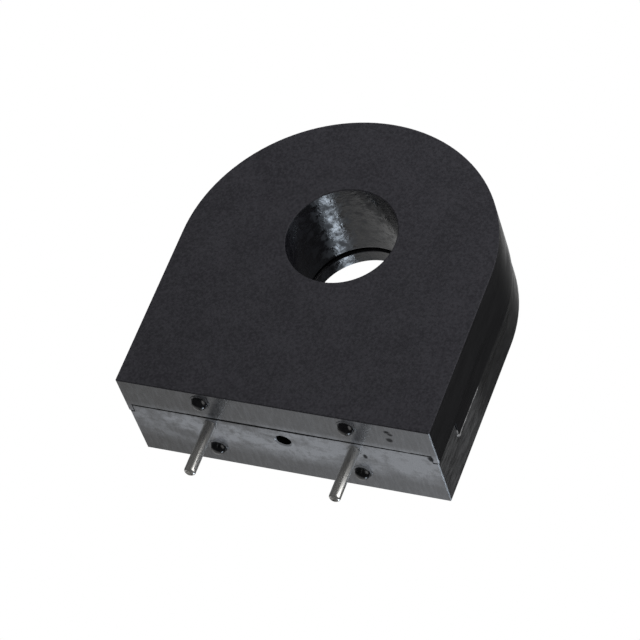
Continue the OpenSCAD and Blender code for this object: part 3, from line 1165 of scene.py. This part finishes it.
@dataclass(frozen=True)
class Lamp:
    """A soft square lamp, aimed at the part.

    Attributes:
        name: The lamp's name.
        direction: Where it stands, as a direction from the part.
        distance: How far away it stands, in metres.
        width: Its width in metres.
        height: Its height in metres.
        radiance: How bright its surface is.
        tint: Its colour.
        shows: Whether gloss shows it.
    """

    name: str
    direction: Triple
    distance: float
    width: float
    height: float
    radiance: float
    tint: Colour = (1.0, 1.0, 1.0)
    shows: bool = True

    def place(self, target: Vector) -> bpy.types.Object:
        """Puts the lamp in the scene.

        Args:
            target: The point that it is aimed at.

        Returns:
            The lamp.
        """
        data = bpy.data.lights.new(self.name, "AREA")
        data.shape = "RECTANGLE"
        data.size, data.size_y = self.width, self.height
        data.color = self.tint
        data.energy = self.radiance * math.pi * self.width * self.height
        lamp = bpy.data.objects.new(self.name, data)
        away = Vector(self.direction).normalized()
        lamp.location = target + away * self.distance
        lamp.rotation_euler = away.to_track_quat("Z", "Y").to_euler()
        lamp.visible_camera = False
        lamp.visible_glossy = self.shows
        bpy.context.scene.collection.objects.link(lamp)
        return lamp


@dataclass
class Studio:
    """The floor, the lamps, the pale surround and the camera.

    Attributes:
        lens: The camera's focal length in millimetres.
        azimuth: The camera's angle round the part, in degrees from the front face.
        elevation: The camera's angle above the board, in degrees.
        roll: How far the camera is turned about its own axis, in degrees.
        distance: The camera's distance from the point that it is aimed at, in metres.
        aim: That point, as an offset in metres from the middle of the part.
        sensor: The width of the camera's sensor in millimetres.
        clip: The camera's nearest and farthest depth in metres.
        floor_size: The floor's width in metres.
        floor_gap: How far under the part's lowest point it lies, in metres.
        fill: The room's level on dull surfaces.
        dim: The level that gloss shows between the pale patches.
        patches: The pale patches that gloss shows: direction, cosines of the angles from it at
            which each begins and is full, and level.
        lamps: The lamps.
    """

    lens: float = 195.14
    azimuth: float = 25.815
    elevation: float = -30.219
    roll: float = -22.803
    distance: float = 0.28518
    aim: Triple = (-0.000977, -0.000342, -0.000434)
    sensor: float = 36.0
    clip: tuple[float, float] = (0.01, 10.0)
    floor_size: float = 0.6
    floor_gap: float = 0.0002
    fill: float = 0.42
    dim: float = 0.045
    patches: tuple[tuple[Triple, float, float, float], ...] = (
        ((-0.376, 0.778, -0.503), 0.66, 0.88, 0.72),
        ((-0.376, 0.778, 0.503), 0.90, 0.99, 1.0),
        ((0.94, -0.28, 0.18), 0.80, 0.94, 2.2),
    )
    lamps: tuple[Lamp, ...] = (
        Lamp("key", (0.43, 0.78, -0.46), 0.30, 0.07, 0.07, 9.5, (0.76, 0.87, 1.0)),
        Lamp("front", (0.36, -0.74, 0.58), 0.11, 0.09, 0.09, 3.1, shows=False),
        Lamp("back", (-0.50, 0.62, 0.60), 0.40, 0.20, 0.20, 1.2, shows=False),
    )

    def build(self, centre: Vector, lowest: float) -> None:
        """Sets up the whole stage.

        Args:
            centre: The middle of the part.
            lowest: The height of the part's lowest point.
        """
        self.place_camera(centre)
        self.lay_floor(centre, lowest)
        self.surround()
        for lamp in self.lamps:
            lamp.place(centre)
            LOG.info("lamp %s placed", lamp.name)

    def place_camera(self, centre: Vector) -> None:
        """Puts the camera at its angle, looking up at the base from the front right.

        Args:
            centre: The middle of the part.
        """
        data = bpy.data.cameras.new("camera")
        data.lens = self.lens
        data.sensor_width = self.sensor
        data.clip_start, data.clip_end = self.clip
        camera = bpy.data.objects.new("camera", data)
        turn, rise = math.radians(self.azimuth), math.radians(self.elevation)
        back = Vector(
            (math.sin(turn) * math.cos(rise), -math.cos(turn) * math.cos(rise), math.sin(rise))
        )
        facing = back.to_track_quat("Z", "Y").to_matrix().to_4x4()
        facing = facing @ Matrix.Rotation(math.radians(-self.roll), 4, "Z")
        eye = centre + Vector(self.aim) + back * self.distance
        camera.matrix_world = Matrix.Translation(eye) @ facing
        bpy.context.scene.collection.objects.link(camera)
        bpy.context.scene.camera = camera

    def lay_floor(self, centre: Vector, lowest: float) -> None:
        """Lays a pale floor under the pins, which is seen only from above.

        Args:
            centre: The middle of the part.
            lowest: The height of the part's lowest point.
        """
        mesh = bpy.data.meshes.new("floor")
        shape = bmesh.new()
        bmesh.ops.create_grid(shape, x_segments=8, y_segments=8, size=self.floor_size / 2)
        shape.to_mesh(mesh)
        shape.free()
        floor = bpy.data.objects.new("floor", mesh)
        floor.location = (centre.x, centre.y, lowest - self.floor_gap)
        bpy.context.scene.collection.objects.link(floor)
        made, g = new_material("pale_floor")
        paint = g.add("BsdfDiffuse", Color=(0.92, 0.92, 0.92))
        clear = g.add("BsdfTransparent")
        pick = g.add("MixShader")
        g.put(pick.inputs[0], g.add("NewGeometry").outputs["Backfacing"])
        g.put(pick.inputs[1], paint.outputs[0])
        g.put(pick.inputs[2], clear.outputs[0])
        g.show("OutputMaterial", pick)
        mesh.materials.append(made)
        floor.visible_glossy = False
        floor.visible_diffuse = False
        floor.visible_shadow = False
        floor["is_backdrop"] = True

    def surround(self) -> None:
        """Makes the world: white to the camera, and pale patches in a dim room to gloss."""
        world = bpy.data.worlds.new("surround")
        bpy.context.scene.world = world
        world.use_nodes = True
        g = Graph(world.node_tree)
        path = g.add("LightPath")
        toward = g.add("TexCoord").outputs["Generated"]
        level = self.dim
        for aim, start, full, strength in self.patches:
            patch = g.calc("MULTIPLY", g.glow(toward, aim, start, full), strength)
            level = g.calc("MAXIMUM", level, patch)
        fill = g.calc("MULTIPLY", g.calc("SUBTRACT", 1.0, path.outputs["Is Glossy Ray"]), self.fill)
        shine = g.calc("MULTIPLY", path.outputs["Is Glossy Ray"], level)
        room = g.add("Background", Color=(1.0, 1.0, 1.0), Strength=g.calc("ADD", fill, shine))
        white = g.add("Background", Color=(1.0, 1.0, 1.0), Strength=1.0)
        seen = g.calc("MAXIMUM", path.outputs["Is Camera Ray"], path.outputs["Is Transmission Ray"])
        pick = g.add("MixShader")
        g.put(pick.inputs[0], seen)
        g.put(pick.inputs[1], room.outputs[0])
        g.put(pick.inputs[2], white.outputs[0])
        g.show("OutputWorld", pick)


def corners() -> list[list[float]]:
    """Gives the shown object's lowest and highest corner as plain lists."""
    return [list(corner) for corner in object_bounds()]


def main() -> None:
    """Builds the stage and every piece."""
    logging.basicConfig(level=logging.INFO, format="%(name)s: %(message)s")
    bpy.context.scene.view_settings.view_transform = "Standard"
    cad_box = corners()
    low, high = (Vector(corner) for corner in cad_box)
    Studio().build((low + high) / 2, low.z)
    housing = Housing()
    for piece in housing.build() + Flash().build(housing.base_z) + Pins().build():
        LOG.info("%s has %d faces", piece.name, len(piece.data.polygons))
    Internals().dress()


if __name__ == "__main__":
    main()
